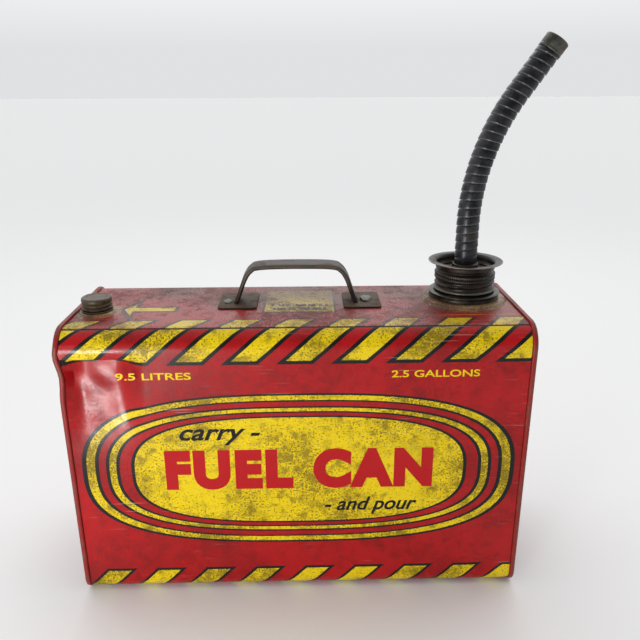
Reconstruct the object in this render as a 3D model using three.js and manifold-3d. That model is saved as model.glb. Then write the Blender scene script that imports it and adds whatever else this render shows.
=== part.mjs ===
// Vintage two-gallon-class fuel can: soldered tinplate body, carrying handle,
// screw vent at one end and a bendable metal hose spout at the other.
// Units are millimetres. +X runs to the spout end, +Y to the back, +Z up.
// The origin is the middle of the flat bottom, on the surface the can stands on.

import * as THREE from 'three';
import { mergeVertices } from 'three/addons/utils/BufferGeometryUtils.js';
import Module from 'manifold-3d';

const wasm = await Module();
wasm.setup();

// ---------------------------------------------------------------- driving sizes

const LENGTH = 350; // over the end seams
const DEPTH = 132;
const HEIGHT = 226;
const SHEET = 0.6; // tinplate thickness
const GAP = 0.3; // clearance between pieces that touch
const SEAM_WIDTH = 3.7; // rolled end seam, along X
const SEAM_PROUD = 1.75; // how far the end seams stand out of the front, back and top
const SEAM_TOP_RADIUS = 17.5;
const BOTTOM_RADIUS = 12;
const CREASE_ANGLE = 18; // degrees down the shoulder where the top sheet laps under the wrap
const LAP_ANGLE = 22; // degrees of shoulder that the lap covers
const END_RECESS = 5.4; // flat of the end panel below its seam

const NECK = { x: 136, y: 12 }; // axis of the filler neck, collar and hose
const VENT = { x: -156.5, y: -13 }; // axis of the vent
const NECK_BOSS = { height: 2.75, top: 32, foot: 34.9 };
const VENT_BOSS = { height: 1, top: 13, foot: 14.4 };
const NECK_TUBE = 20.9; // outer radius of the threaded tube
const NECK_BORE = 19.6;
const NECK_LENGTH = 24; // from below the top sheet to the lip
const VENT_TUBE = 8.2;
const VENT_BORE = 5.5;
const VENT_LENGTH = 11.7;
const TUBE_FOOT = 221.5; // both tubes hang this far into the can

const HOSE_RADIUS = 9.1;
const HOSE_BORE_RADIUS = 7.8;
const HOSE_STRAIGHT = 35.5; // upright length above the socket seat
const HOSE_BEND_RADIUS = 176.8;
const HOSE_BEND_ANGLE = 35; // degrees from upright, reached in three equal links
const HOSE_END = 33; // straight length before the nozzle
const NOZZLE_LENGTH = 10.8;
const NOZZLE_RADIUS = 9.3;

const HANDLE_Y = 8;
const HANDLE_WIDTH = 21;

// ---------------------------------------------------------------- derived levels

const SIDE = DEPTH / 2 - SEAM_PROUD; // half depth of the wrap
const TOP = HEIGHT - SEAM_PROUD; // outer face of the top sheet
const SHOULDER = SEAM_TOP_RADIUS - SEAM_PROUD;
const SHEET_END = LENGTH / 2 - SEAM_WIDTH - GAP;
const NECK_SEAT = TOP + NECK_BOSS.height + GAP;
const VENT_SEAT = TOP + VENT_BOSS.height + GAP;
const NECK_LIP = TUBE_FOOT + NECK_LENGTH;
const GASKET = 2; // thickness of the seal on the neck's lip
const DISC_LOW = NECK_LIP + GASKET + 2 * GAP; // underside of the disc that carries the hose
const DISC_HIGH = DISC_LOW + 0.8;
const HOSE_LOW = DISC_HIGH + GAP;
const VENT_LIP = TUBE_FOOT + VENT_LENGTH;
const LINER = 1.2; // thickness of the seal inside the vent cap

// ---------------------------------------------------------------- colours

const paintedRed = () => new THREE.MeshStandardMaterial({ color: 0xb3161a, roughness: 0.35, metalness: 0.1 });
const dustyRed = () => new THREE.MeshStandardMaterial({ color: 0xb0524f, roughness: 0.45, metalness: 0.1 });
const seamRed = () => new THREE.MeshStandardMaterial({ color: 0x7a3a34, roughness: 0.5, metalness: 0.2 });
const rustySteel = () => new THREE.MeshStandardMaterial({ color: 0x3a2e26, roughness: 0.6, metalness: 0.7 });
const darkSteel = () => new THREE.MeshStandardMaterial({ color: 0x2f2f32, roughness: 0.35, metalness: 0.85 });
const solderGrey = () => new THREE.MeshStandardMaterial({ color: 0x8b8b86, roughness: 0.5, metalness: 0.7 });
const blackRubber = () => new THREE.MeshStandardMaterial({ color: 0x1c1b1a, roughness: 0.85, metalness: 0 });
const corkBrown = () => new THREE.MeshStandardMaterial({ color: 0x8a6a45, roughness: 0.9, metalness: 0 });

// ---------------------------------------------------------------- geometry helpers

const radians = THREE.MathUtils.degToRad;

// Merges equal vertices and turns the faces outwards.
function tidy(geometry) {
  geometry.deleteAttribute('normal');
  geometry.deleteAttribute('uv');
  geometry.clearGroups();
  const merged = mergeVertices(geometry, 1e-4);
  const position = merged.attributes.position;
  const index = merged.index.array;
  const kept = [];
  const a = new THREE.Vector3();
  const b = new THREE.Vector3();
  const c = new THREE.Vector3();
  let volume = 0;
  for (let i = 0; i < index.length; i += 3) {
    const [p, q, r] = [index[i], index[i + 1], index[i + 2]];
    if (p === q || q === r || r === p) continue;
    kept.push(p, q, r);
    a.fromBufferAttribute(position, p);
    b.fromBufferAttribute(position, q);
    c.fromBufferAttribute(position, r);
    volume += a.dot(b.cross(c));
  }
  if (volume < 0) kept.reverse();
  merged.setIndex(kept);
  return merged;
}

// A closed profile of [radius, z] points turned about the Z axis.
function turned(profile, segments = 32) {
  const points = profile.map(([r, z]) => new THREE.Vector2(r, z));
  if (profile[0][0] > 0) points.push(points[0].clone());
  return tidy(new THREE.LatheGeometry(points, segments).rotateX(Math.PI / 2));
}

function toSolid(geometry) {
  const { position } = geometry.attributes;
  return new wasm.Manifold(
    new wasm.Mesh({
      numProp: 3,
      vertProperties: new Float32Array(position.array),
      triVerts: new Uint32Array(geometry.index.array),
    }),
  );
}

function fromSolid(solid) {
  const mesh = solid.getMesh();
  const geometry = new THREE.BufferGeometry();
  geometry.setAttribute('position', new THREE.BufferAttribute(new Float32Array(mesh.vertProperties), 3));
  geometry.setIndex(new THREE.BufferAttribute(new Uint32Array(mesh.triVerts), 1));
  return geometry;
}

const at = (geometry, x, y, z = 0) => geometry.translate(x, y, z);
const disc = (radius, low, high, segments = 32) =>
  turned([[0, low], [radius, low], [radius, high], [0, high]], segments);

// Extrudes a shape drawn in the Y-Z plane along +X, from `start`.
function alongX(shape, start, length, options = {}) {
  const geometry = new THREE.ExtrudeGeometry(shape, {
    depth: length,
    bevelEnabled: false,
    curveSegments: 6,
    ...options,
  });
  const turn = new THREE.Matrix4().makeBasis(
    new THREE.Vector3(0, 1, 0),
    new THREE.Vector3(0, 0, 1),
    new THREE.Vector3(1, 0, 0),
  );
  return tidy(geometry.applyMatrix4(turn).translate(start, 0, 0));
}

// Cross-section of the can: small radii at the bottom, large ones at the shoulders.
function canOutline(half, top, bottom, topRadius, bottomRadius) {
  const shape = new THREE.Shape();
  shape.absarc(-half + topRadius, top - topRadius, topRadius, Math.PI / 2, Math.PI, false);
  shape.absarc(-half + bottomRadius, bottom + bottomRadius, bottomRadius, Math.PI, Math.PI * 1.5, false);
  shape.absarc(half - bottomRadius, bottom + bottomRadius, bottomRadius, Math.PI * 1.5, Math.PI * 2, false);
  shape.absarc(half - topRadius, top - topRadius, topRadius, 0, Math.PI / 2, false);
  shape.closePath();
  return shape;
}

// The same outline moved in by `inset` from the seam's outer edge.
function insetOutline(inset, bottom) {
  const shoulder = SEAM_TOP_RADIUS - inset;
  const corner = Math.min(BOTTOM_RADIUS + SEAM_PROUD - inset, BOTTOM_RADIUS + 1);
  return canOutline(DEPTH / 2 - inset, HEIGHT - inset, bottom, shoulder, corner);
}

// ---------------------------------------------------------------- tank body

// One sheet forms the front, bottom and back, with its shoulders turned over
// to the crease where the top sheet meets it.
function bodyWrap() {
  const start = radians(90 + CREASE_ANGLE) + GAP / SHOULDER;
  const shape = new THREE.Shape();
  const shoulderZ = TOP - SHOULDER;
  const cornerY = SIDE - BOTTOM_RADIUS;
  const shoulderY = SIDE - SHOULDER;
  shape.absarc(-shoulderY, shoulderZ, SHOULDER, start, Math.PI, false);
  shape.absarc(-cornerY, BOTTOM_RADIUS, BOTTOM_RADIUS, Math.PI, Math.PI * 1.5, false);
  shape.absarc(cornerY, BOTTOM_RADIUS, BOTTOM_RADIUS, Math.PI * 1.5, Math.PI * 2, false);
  shape.absarc(shoulderY, shoulderZ, SHOULDER, 0, Math.PI - start, false);
  shape.absarc(shoulderY, shoulderZ, SHOULDER - SHEET, Math.PI - start, 0, true);
  shape.absarc(cornerY, BOTTOM_RADIUS, BOTTOM_RADIUS - SHEET, 0, -Math.PI / 2, true);
  shape.absarc(-cornerY, BOTTOM_RADIUS, BOTTOM_RADIUS - SHEET, Math.PI * 1.5, Math.PI, true);
  shape.absarc(-shoulderY, shoulderZ, SHOULDER - SHEET, Math.PI, start, true);
  shape.closePath();
  return alongX(shape, -SHEET_END, 2 * SHEET_END);
}

// Pressed ring that lifts the sheet round an opening.
function boss({ height, top, foot }, hole, place) {
  const slope = 0.4; // extra reach of the inner face at the slope
  const ring = turned([
    [hole, TOP + height - SHEET],
    [top - slope, TOP + height - SHEET],
    [foot - 2 * slope, TOP - SHEET],
    [foot, TOP - SHEET],
    [foot, TOP],
    [foot - slope, TOP],
    [top, TOP + height],
    [hole, TOP + height],
  ]);
  return toSolid(at(ring, place.x, place.y));
}

// Top sheet: flat, with shoulders that step down and lap under the wrap.
function topPanel() {
  const centreY = SIDE - SHOULDER;
  const centreZ = TOP - SHOULDER;
  const crease = radians(90 + CREASE_ANGLE);
  const lapEnd = radians(90 + CREASE_ANGLE + LAP_ANGLE);
  const innerCrease = crease - SHEET / SHOULDER;
  const lapOuter = SHOULDER - SHEET - GAP;
  const lapInner = lapOuter - SHEET;
  const shape = new THREE.Shape();
  shape.absarc(-centreY, centreZ, SHOULDER, Math.PI / 2, crease, false);
  shape.absarc(-centreY, centreZ, lapOuter, crease, lapEnd, false);
  shape.absarc(-centreY, centreZ, lapInner, lapEnd, innerCrease, true);
  shape.absarc(-centreY, centreZ, SHOULDER - SHEET, innerCrease, Math.PI / 2, true);
  shape.absarc(centreY, centreZ, SHOULDER - SHEET, Math.PI / 2, Math.PI - innerCrease, true);
  shape.absarc(centreY, centreZ, lapInner, Math.PI - innerCrease, Math.PI - lapEnd, true);
  shape.absarc(centreY, centreZ, lapOuter, Math.PI - lapEnd, Math.PI - crease, false);
  shape.absarc(centreY, centreZ, SHOULDER, Math.PI - crease, Math.PI / 2, false);
  shape.closePath();
  let sheet = toSolid(alongX(shape, -SHEET_END, 2 * SHEET_END, { curveSegments: 4 }));
  const overlap = 0.3;
  for (const [ring, hole, place] of [[NECK_BOSS, NECK_TUBE + GAP, NECK], [VENT_BOSS, VENT_TUBE + GAP, VENT]]) {
    const opening = disc(ring.foot - overlap, TOP - 2 * SHEET, TOP + 2 * SHEET);
    sheet = sheet.subtract(toSolid(at(opening, place.x, place.y)));
    sheet = sheet.add(boss(ring, hole, place));
  }
  return fromSolid(sheet);
}

// End panel: a flat pan whose edge is rolled with the wrap into the proud end seam.
function endPanel(side) {
  const wallOuter = SEAM_PROUD + 2 * (SHEET + GAP); // clears the lap of the top sheet
  const wallInner = wallOuter + 0.8;
  const wallBottom = SHEET + GAP;
  const bottomInner = wallBottom + 0.8;
  const bevel = 0.9;
  const seamStart = LENGTH / 2 - SEAM_WIDTH;
  const block = alongX(insetOutline(bevel, bevel), seamStart + bevel, SEAM_WIDTH - 2 * bevel, {
    bevelEnabled: true,
    bevelSize: bevel,
    bevelThickness: bevel,
    bevelSegments: 1,
  });
  const hollow = alongX(insetOutline(wallInner, bottomInner), seamStart - 1, SEAM_WIDTH + 2);
  const bead = toSolid(block).subtract(toSolid(hollow));
  const panelStart = LENGTH / 2 - END_RECESS - SHEET;
  const wall = insetOutline(wallOuter, wallBottom);
  wall.holes.push(insetOutline(wallInner, bottomInner));
  const overlap = 1;
  const rim = alongX(wall, panelStart, seamStart - panelStart + overlap);
  const pan = alongX(insetOutline(wallOuter, wallBottom), panelStart, SHEET);
  const geometry = fromSolid(bead.add(toSolid(rim)).add(toSolid(pan)));
  return side > 0 ? geometry : tidy(geometry.rotateZ(Math.PI));
}

// ---------------------------------------------------------------- filler neck and collar

// Pressed base with a rounded shoulder, and the tube that the collar screws on.
function fillerNeck() {
  const base = 28;
  return turned([
    [NECK_BORE, TUBE_FOOT],
    [NECK_TUBE, TUBE_FOOT],
    [NECK_TUBE, NECK_SEAT],
    [base - 0.4, NECK_SEAT],
    [base - 0.4, 230.6],
    [base + 0.5, 231.2],
    [base + 0.2, 231.9],
    [base - 3, 232.6],
    [NECK_TUBE, 232.6],
    [NECK_TUBE, 238.6],
    [NECK_TUBE + 0.5, 239.2],
    [NECK_TUBE, 239.8],
    [NECK_TUBE, 242.6],
    [NECK_TUBE + 0.5, 243.2],
    [NECK_TUBE, 243.8],
    [NECK_TUBE, NECK_LIP],
    [NECK_BORE, NECK_LIP],
  ]);
}

const spoutGasket = () =>
  turned([[15, NECK_LIP + GAP], [20.6, NECK_LIP + GAP], [20.6, DISC_LOW - GAP], [15, DISC_LOW - GAP]]);

const spoutBaseDisc = () => turned([[7.6, DISC_LOW], [21, DISC_LOW], [21, DISC_HIGH], [7.6, DISC_HIGH]]);

// Short ferrule, soldered to the disc, that grips the foot of the hose.
function hoseSocket() {
  const inner = HOSE_RADIUS + GAP;
  return turned([
    [inner, HOSE_LOW],
    [11.6, HOSE_LOW],
    [11.6, HOSE_LOW + 0.8],
    [inner + 1, HOSE_LOW + 1.4],
    [inner + 1, HOSE_LOW + 5],
    [inner, HOSE_LOW + 5],
  ], 24);
}

// Screw collar pressed from one piece of sheet: bottom curl, rolled thread,
// an inward bead that bears on the disc, an upstand and an out-turned brim.
function spoutCollar() {
  const wall = 0.9;
  const outer = [
    [24.3, 233.2], [24.9, 234.2], [24.2, 235.2],
    [23.1, 236.0], [24.2, 237.2], [23.1, 238.4],
    [24.2, 240.2], [23.1, 241.6],
    [24.3, 243.4], [23.1, 244.8],
    [24.4, 246.4], [24.4, 247.9],
    [22.3, 249.2], [22.3, 250.0],
    [23.6, 250.9], [23.7, 252.8],
    [25.2, 254.9], [28.2, 255.9], [29.6, 256.1],
  ];
  const inner = [
    [29.6, 256.9], [28.0, 256.9], [25.0, 256.1], [22.9, 253.6], [22.7, 251.5],
    [20.4, 250.2], [20.4, 249.25],
    [21.6, 249.25], [22.7, 247.6], [22.7, 246.4],
    [22.2, 244.8], [22.4, 243.4],
    [22.2, 241.6], [22.2, 238.4],
    [22.3, 236.0], [23.3, 234.6], [24.3 - wall, 233.2],
  ];
  return turned([...outer, ...inner]);
}

// ---------------------------------------------------------------- hose and nozzle

// The hose is a chain of links that meet in ball-shaped ends, so that each pair
// can turn about the point between them without touching.
const LINK_ARC = HOSE_BEND_ANGLE / 3;
const LINK_LENGTH = 2 * HOSE_BEND_RADIUS * Math.sin(radians(LINK_ARC / 2));
const BALL = HOSE_RADIUS;
const CUP = HOSE_RADIUS + GAP;

// Points of a circular arc about the Z = `level` point, in [radius, z].
function ballArc(radius, from, to, level) {
  const steps = 3;
  return Array.from({ length: steps + 1 }, (_, i) => {
    const r = from + ((to - from) * i) / steps;
    return [r, level + Math.sqrt(radius * radius - r * r)];
  });
}

// A link along +Z from its lower pivot at z = 0 to its upper pivot.
function hoseLink(length, { cupped, balled }) {
  const low = cupped ? ballArc(CUP, HOSE_BORE_RADIUS, HOSE_RADIUS, 0) : [[HOSE_BORE_RADIUS, 0], [HOSE_RADIUS, 0]];
  const high = balled
    ? ballArc(BALL, HOSE_RADIUS, HOSE_BORE_RADIUS, length)
    : [[HOSE_RADIUS, length], [HOSE_BORE_RADIUS, length]];
  return turned([...low, ...high], 24);
}

// Plain ferrule whose thin tail is pushed into the bore of the hose.
function nozzleTip() {
  const tailOuter = HOSE_BORE_RADIUS - GAP;
  const tailInner = tailOuter - SHEET;
  const tail = 4;
  return turned([
    [tailInner, -tail],
    [tailOuter, -tail],
    [tailOuter, GAP],
    [NOZZLE_RADIUS, GAP],
    [NOZZLE_RADIUS, NOZZLE_LENGTH - 0.6],
    [NOZZLE_RADIUS - 0.5, NOZZLE_LENGTH],
    [tailInner, NOZZLE_LENGTH],
  ], 24);
}

// Places of the pivots: x and z of each, and the lean of the link that follows.
function hoseRoute() {
  const route = [{ x: NECK.x, z: HOSE_LOW, lean: 0, length: HOSE_STRAIGHT }];
  let x = NECK.x;
  let z = HOSE_LOW + HOSE_STRAIGHT;
  for (let i = 0; i < 3; i += 1) {
    const lean = LINK_ARC * (i + 0.5);
    route.push({ x, z, lean, length: LINK_LENGTH });
    x += LINK_LENGTH * Math.sin(radians(lean));
    z += LINK_LENGTH * Math.cos(radians(lean));
  }
  route.push({ x, z, lean: HOSE_BEND_ANGLE, length: HOSE_END });
  return route;
}

// ---------------------------------------------------------------- vent

function ventNeck() {
  return turned([
    [VENT_BORE, TUBE_FOOT],
    [VENT_TUBE, TUBE_FOOT],
    [VENT_TUBE, VENT_SEAT],
    [12, VENT_SEAT],
    [12.2, VENT_SEAT + 0.5],
    [11.8, VENT_SEAT + 1],
    [VENT_TUBE, VENT_SEAT + 1],
    [VENT_TUBE, VENT_LIP],
    [VENT_BORE, VENT_LIP],
  ], 24);
}

const ventLiner = () => disc(8.5, VENT_LIP + GAP, VENT_LIP + GAP + LINER, 24);

// Pressed cap: two rolled rings round the skirt and a rimmed top.
function ventCap() {
  const inner = VENT_TUBE + 0.6;
  const roof = VENT_LIP + 2 * GAP + LINER;
  return turned([
    [inner, 226.9],
    [11.4, 226.9],
    [11.7, 227.7],
    [11.3, 228.6],
    [10.7, 229.1],
    [11.3, 229.8],
    [11.4, 234.4],
    [10.8, 235.9],
    [10.2, 236.4],
    [9.4, 235.9],
    [0, 236.3],
    [0, roof],
    [inner, roof],
  ], 24);
}

// ---------------------------------------------------------------- handle

const PLATE_LOW = TOP + GAP;
const PLATE_HIGH = PLATE_LOW + 0.9;
const FOOT = PLATE_HIGH + GAP;

// Strap with both edges turned down and rolled, bent into a flat-topped arch.
function handleStrap() {
  const half = HANDLE_WIDTH / 2;
  const web = 1;
  const lip = 1.5;
  const drop = 3.6;
  const section = new THREE.Shape();
  section.moveTo(-half + 0.8, 0);
  section.lineTo(half - 0.8, 0);
  section.lineTo(half, 0.8);
  section.lineTo(half, drop - 0.5);
  section.lineTo(half - 0.5, drop);
  section.lineTo(half - lip, drop);
  section.lineTo(half - lip, web);
  section.lineTo(-half + lip, web);
  section.lineTo(-half + lip, drop);
  section.lineTo(-half + 0.5, drop);
  section.lineTo(-half, drop - 0.5);
  section.lineTo(-half, 0.8);
  section.closePath();
  const spine = new THREE.CatmullRomCurve3([
    new THREE.Vector3(-51.6, 0, FOOT - 3),
    new THREE.Vector3(-47.2, 0, 236.5),
    new THREE.Vector3(-43.4, 0, 246.2),
    new THREE.Vector3(-38.6, 0, 253.0),
    new THREE.Vector3(-30.5, 0, 256.4),
    new THREE.Vector3(-1.5, 0, 257.2),
    new THREE.Vector3(27.5, 0, 256.4),
    new THREE.Vector3(35.8, 0, 253.0),
    new THREE.Vector3(40.6, 0, 246.2),
    new THREE.Vector3(44.2, 0, 236.5),
    new THREE.Vector3(48.4, 0, FOOT - 3),
  ], false, 'centripetal');
  const strap = tidy(new THREE.ExtrudeGeometry(section, { extrudePath: spine, steps: 34, curveSegments: 1 }));
  const below = tidy(new THREE.BoxGeometry(200, 80, 20)).translate(0, 0, FOOT - 10);
  const cut = toSolid(strap).subtract(toSolid(below));
  return at(fromSolid(cut), 0, HANDLE_Y);
}

function footPlate(x, width) {
  const depth = 41;
  const corner = 3;
  const shape = new THREE.Shape();
  shape.absarc(width / 2 - corner, depth / 2 - corner, corner, 0, Math.PI / 2, false);
  shape.absarc(-width / 2 + corner, depth / 2 - corner, corner, Math.PI / 2, Math.PI, false);
  shape.absarc(-width / 2 + corner, -depth / 2 + corner, corner, Math.PI, Math.PI * 1.5, false);
  shape.absarc(width / 2 - corner, -depth / 2 + corner, corner, Math.PI * 1.5, Math.PI * 2, false);
  shape.closePath();
  const plate = new THREE.ExtrudeGeometry(shape, {
    depth: PLATE_HIGH - PLATE_LOW,
    bevelEnabled: false,
    curveSegments: 4,
  });
  return at(tidy(plate), x, HANDLE_Y + 0.5, PLATE_LOW);
}

// Lump of solder beside a handle leg, flat where it lies on the foot plate.
function solderBead(x, y, width, depth, height) {
  const lump = tidy(new THREE.SphereGeometry(1, 16, 10)).scale(width / 2, depth / 2, height);
  const below = tidy(new THREE.BoxGeometry(2 * width, 2 * depth, 2 * height)).translate(0, 0, -height);
  return at(fromSolid(toSolid(lump).subtract(toSolid(below))), x, y, FOOT);
}

// ---------------------------------------------------------------- assembly

function piece(name, geometry, material) {
  const mesh = new THREE.Mesh(geometry, material);
  mesh.name = name;
  return mesh;
}

const can = new THREE.Group();
can.add(
  piece('body_wrap', bodyWrap(), paintedRed()),
  piece('top_panel', topPanel(), dustyRed()),
  piece('left_end_panel', endPanel(-1), seamRed()),
  piece('right_end_panel', endPanel(1), seamRed()),
  piece('handle_strap', handleStrap(), rustySteel()),
  piece('handle_foot_plate_left', footPlate(-48, 31), rustySteel()),
  piece('handle_foot_plate_right', footPlate(51.5, 30), rustySteel()),
  piece('solder_bead_left', solderBead(-56.3, 4, 7, 10, 1.5), solderGrey()),
  piece('solder_bead_right', solderBead(55.2, 8, 9.5, 15, 2.6), solderGrey()),
);

const spout = new THREE.Group();
spout.position.set(NECK.x, NECK.y, 0);
spout.add(
  piece('filler_neck', fillerNeck(), darkSteel()),
  piece('spout_gasket', spoutGasket(), blackRubber()),
  piece('spout_base_disc', spoutBaseDisc(), darkSteel()),
  piece('hose_socket', hoseSocket(), darkSteel()),
  piece('spout_collar', spoutCollar(), rustySteel()),
);
can.add(spout);

const route = hoseRoute();
route.forEach(({ x, z, lean, length }, i) => {
  const shape = { cupped: i > 0, balled: i < route.length - 1 };
  const link = piece(`hose_section_${i + 1}`, hoseLink(length, shape), darkSteel());
  link.position.set(x, NECK.y, z);
  link.rotation.y = radians(lean);
  can.add(link);
});

const last = route[route.length - 1];
const nozzle = piece('nozzle_tip', nozzleTip(), darkSteel());
nozzle.rotation.y = radians(last.lean);
nozzle.position.set(
  last.x + last.length * Math.sin(radians(last.lean)),
  NECK.y,
  last.z + last.length * Math.cos(radians(last.lean)),
);
can.add(nozzle);

const vent = new THREE.Group();
vent.position.set(VENT.x, VENT.y, 0);
vent.add(
  piece('vent_neck', ventNeck(), darkSteel()),
  piece('vent_liner', ventLiner(), corkBrown()),
  piece('vent_cap', ventCap(), rustySteel()),
);
can.add(vent);

export default can;
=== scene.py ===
import math

import bmesh
import bpy
from mathutils import Matrix, Vector, noise


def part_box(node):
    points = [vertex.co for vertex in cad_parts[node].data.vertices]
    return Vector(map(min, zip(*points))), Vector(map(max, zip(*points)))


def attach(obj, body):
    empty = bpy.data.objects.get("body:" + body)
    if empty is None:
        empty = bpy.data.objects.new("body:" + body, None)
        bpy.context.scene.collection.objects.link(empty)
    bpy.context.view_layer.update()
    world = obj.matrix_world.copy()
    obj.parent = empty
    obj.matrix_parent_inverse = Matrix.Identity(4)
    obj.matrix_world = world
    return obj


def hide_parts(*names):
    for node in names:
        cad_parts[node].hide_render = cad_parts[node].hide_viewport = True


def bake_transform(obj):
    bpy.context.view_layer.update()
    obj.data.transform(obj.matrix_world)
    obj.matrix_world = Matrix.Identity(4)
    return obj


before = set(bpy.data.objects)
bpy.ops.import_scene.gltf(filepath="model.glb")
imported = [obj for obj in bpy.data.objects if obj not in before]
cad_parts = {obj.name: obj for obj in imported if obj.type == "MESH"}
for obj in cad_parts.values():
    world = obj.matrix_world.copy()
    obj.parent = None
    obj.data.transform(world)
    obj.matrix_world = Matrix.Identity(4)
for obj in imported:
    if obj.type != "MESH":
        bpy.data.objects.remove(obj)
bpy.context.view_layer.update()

# ---------------------------------------------------------------- studio
# A pale seamless floor in a white room. A big soft box and a bright strip stand in
# front on the left and a rim box hangs behind. The camera looks slightly down.

MM = 0.001

CAMERA_PLACE = (0.00785, -0.51539, 0.3887)
CAMERA_YAW = -0.0191
CAMERA_PITCH = 0.3329
CAMERA_ROLL = 0.0043
LENS = 37.75  # mm, on a 36 mm wide sensor

aim = (
    Matrix.Rotation(CAMERA_YAW, 4, "Z")
    @ Matrix.Rotation(-CAMERA_PITCH, 4, "X")
    @ Matrix.Rotation(CAMERA_ROLL, 4, "Y")
    @ Matrix.Rotation(math.pi / 2, 4, "X")
)
bpy.ops.object.camera_add(location=CAMERA_PLACE, rotation=aim.to_euler())
bpy.context.object.data.lens = LENS
bpy.context.scene.camera = bpy.context.object
bpy.context.scene.view_settings.view_transform = "Standard"


def add_node(tree, kind, *inputs, out=0, **settings):
    """Adds one shader node and returns an output. Inputs are numbers, colours or other
    nodes' outputs, in the order of its sockets, and None leaves a socket as it is."""
    node = tree.nodes.new("ShaderNode" + kind)
    for name, value in settings.items():
        setattr(node, name, value)
    for socket, value in zip(node.inputs, inputs):
        if isinstance(value, bpy.types.NodeSocket):
            tree.links.new(value, socket)
        elif value is not None:
            socket.default_value = value
    return node.outputs[out]


def linear(hex_colour):
    """A linear RGBA colour from an sRGB hex value such as "c5161a"."""
    channels = [int(hex_colour[i:i + 2], 16) / 255 for i in (0, 2, 4)]
    return [c / 12.92 if c <= 0.04045 else ((c + 0.055) / 1.055) ** 2.4 for c in channels] + [1.0]


def new_material(name, **sockets):
    """An empty Principled material; the values are set on the shader's own sockets."""
    material = bpy.data.materials.new(name)
    material.use_nodes = True
    shader = material.node_tree.nodes["Principled BSDF"]
    for socket, value in sockets.items():
        shader.inputs[socket.replace("_", " ").title().replace("Ior", "IOR")].default_value = value
    return material, material.node_tree, shader


ROOM_BACK = "c4c5c7"  # the wall that the camera looks at
ROOM_FRONT = "77797c"  # the darker room behind the camera
ROOM_CEILING = "ffffff"  # over the back half only
ROOM_STRENGTH = 1.35

world = bpy.data.worlds.new("white_room")
bpy.context.scene.world = world
world.use_nodes = True
tree = world.node_tree
direction = add_node(tree, "TexCoord")
depth = add_node(tree, "SeparateXYZ", direction, out=1)
towards_back = add_node(tree, "MapRange", depth, -0.7, 0.4)
height = add_node(tree, "SeparateXYZ", direction, out=2)
towards_ceiling = add_node(tree, "MapRange", height, 0.05, 0.4)
room = add_node(tree, "MixRGB", towards_ceiling, linear(ROOM_BACK), linear(ROOM_CEILING))
room = add_node(tree, "MixRGB", towards_back, linear(ROOM_FRONT), room)
tree.links.new(room, tree.nodes["Background"].inputs["Color"])
tree.nodes["Background"].inputs["Strength"].default_value = ROOM_STRENGTH

FLOOR_DROP = 0.3 * MM  # keeps the floor clear of the can's underside
bpy.ops.mesh.primitive_plane_add(size=60, location=(0, 0, -FLOOR_DROP))
floor = bpy.context.object
floor.name = "studio_floor"
material, tree, shader = new_material("matt_white_board", roughness=0.7, base_color=linear("f0f0f0"))
floor.data.materials.append(material)


def soft_box(name, place, target, width, height, power):
    """A rectangular area light that faces the target."""
    turn = (Vector(target) - Vector(place)).to_track_quat("-Z", "Y")
    bpy.ops.object.light_add(type="AREA", location=place, rotation=turn.to_euler())
    lamp = bpy.context.object
    lamp.name = name
    lamp.data.shape = "RECTANGLE"
    lamp.data.size = width
    lamp.data.size_y = height
    lamp.data.energy = power
    lamp.visible_camera = False


soft_box("key_box", (-0.62, -0.9, 0.34), (-0.12, 0, 0.12), 0.5, 0.55, 1.2)
soft_box("strip_box", (-0.345, -0.68, 0.105), (-0.14, -0.065, 0.12), 0.14, 0.2, 2.5)
soft_box("rim_box", (0.1, 0.9, 1.1), (0, 0, 0.2), 0.9, 0.5, 2)

# ---------------------------------------------------------------- body wrap
# One sheet of lithographed tinplate bent into the front, bottom and back, with both
# shoulders turned over to the crease where the top sheet laps under it.

SHEET = 0.6 * MM
SHOULDER = 15.75 * MM
CORNER = 12 * MM
SEAM_PROUD = 1.75 * MM
CREASE = math.radians(18)  # down the shoulder from the flat top
PANEL_GRID = 4.5 * MM

wrap_low, wrap_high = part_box("body_wrap")
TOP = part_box("left_end_panel")[1].z - SEAM_PROUD
SHOULDER_Z = TOP - SHOULDER
SHOULDER_Y = wrap_high.y - SHOULDER
CORNER_Y = wrap_high.y - CORNER
CREASE_Z = SHOULDER_Z + SHOULDER * math.cos(CREASE)


def block(name, low, high):
    """A block between two corners, with its object at the origin."""
    low, high = Vector(low), Vector(high)
    bpy.ops.mesh.primitive_cube_add(size=1, location=(low + high) / 2, scale=high - low)
    piece = bpy.context.object
    piece.name = piece.data.name = name
    bpy.ops.object.transform_apply(location=True, rotation=True, scale=True)
    return piece


def pick(kind, test):
    """In edit mode, selects only the parts of the mesh that pass the test."""
    mesh = bmesh.from_edit_mesh(bpy.context.object.data)
    bpy.ops.mesh.select_mode(type=kind)
    bpy.ops.mesh.select_all(action="DESELECT")
    for part in {"VERT": mesh.verts, "EDGE": mesh.edges, "FACE": mesh.faces}[kind]:
        if test(part):
            part.select_set(True)
    mesh.select_flush_mode()
    bmesh.update_edit_mesh(bpy.context.object.data)


def middle(part):
    return sum((v.co for v in part.verts), Vector()) / len(part.verts)


def runs_along(edge, axis, longer_than=0.0):
    span = edge.verts[1].co - edge.verts[0].co
    return span.length > longer_than and abs(span[axis]) > 0.999 * span.length


def round_long_edges(above, radius, segments):
    """Rounds the two long edges of a can-shaped block, the upper or the lower pair."""
    pick("EDGE", lambda e: runs_along(e, 0) and (middle(e).z > TOP / 2) == above)
    bpy.ops.mesh.bevel(offset=radius, segments=segments, affect="EDGES")


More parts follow.
